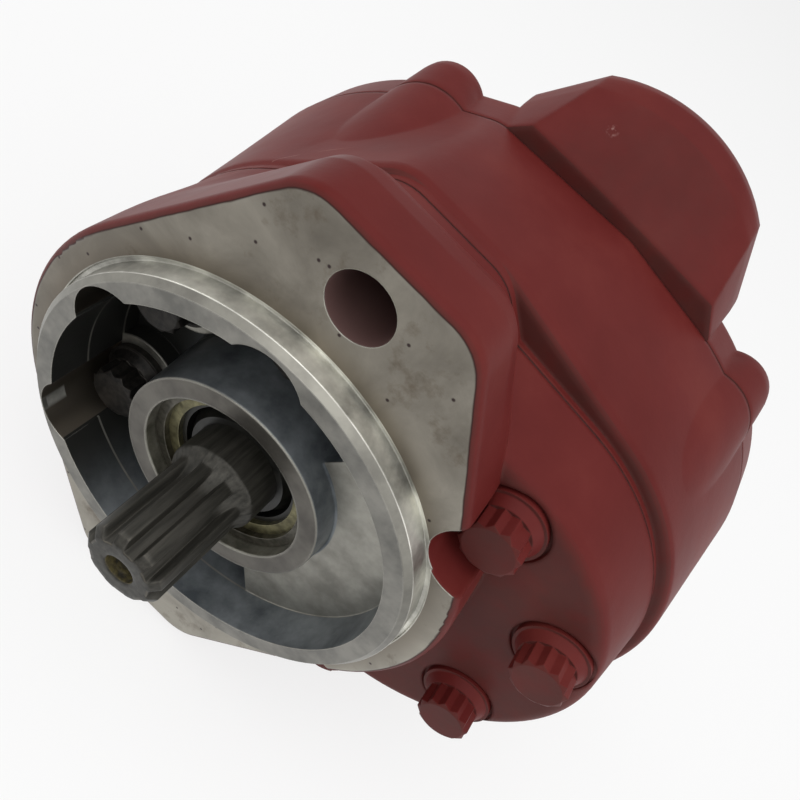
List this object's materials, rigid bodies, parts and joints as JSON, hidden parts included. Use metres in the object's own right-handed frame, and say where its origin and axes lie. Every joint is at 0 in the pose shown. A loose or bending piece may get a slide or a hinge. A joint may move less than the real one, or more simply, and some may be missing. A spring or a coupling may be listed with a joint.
{
  "type": "hydraulic gear pump",
  "caption": "Red painted cast hydraulic gear pump with an eared mounting flange and round pilot, a splined drive shaft with its seal, flanged cover bolts and rear ports.",
  "frame": {"origin": "centre of the pilot on the mounting face", "axes": "+Y runs from the mounting face to the rear cover, so the drive shaft points along -Y; the two mounting holes lie on Z; +X points from the drive shaft to the driven gear"},
  "size_m": [0.1376, 0.11, 0.1347],
  "materials": {
    "red_paint": "dull red paint on cast aluminium",
    "cast_aluminium": "dull red paint on cast aluminium, with a bare machined mounting face and pilot",
    "joint_seal": "thin joint seal, painted over",
    "dark_steel": "dark oiled steel",
    "bush_bronze": "bearing bronze",
    "seal_steel": "oily pressed steel",
    "seal_rubber": "black seal rubber",
    "spring_steel": "bright spring steel",
    "bolt_steel": "steel bolt painted over with the castings",
    "pin_steel": "ground steel pin"
  },
  "bodies": {
    "housing": {"front_cover": "cast_aluminium", "gear_housing": "red_paint", "rear_cover": "red_paint", "front_gasket": "joint_seal", "rear_gasket": "joint_seal", "shaft_bush": "bush_bronze", "seal_case": "seal_steel", "seal_lip": "seal_rubber", "retaining_ring": "spring_steel", "cover_bolt_1": "bolt_steel", "cover_bolt_2": "bolt_steel", "cover_bolt_3": "bolt_steel", "cover_bolt_4": "bolt_steel", "cover_bolt_5": "bolt_steel", "cover_bolt_6": "bolt_steel", "cover_bolt_7": "bolt_steel", "cover_bolt_8": "bolt_steel", "front_dowel_1": "pin_steel", "front_dowel_2": "pin_steel", "rear_dowel_1": "pin_steel", "rear_dowel_2": "pin_steel"},
    "shaft": {"drive_shaft": "dark_steel"}
  },
  "joints": [
    {"name": "shaft_spin", "type": "hinge", "parent": "housing", "child": "shaft", "pos_m": [0, 0, 0], "axis": [0, -1, 0], "continuous": true}
  ]
}
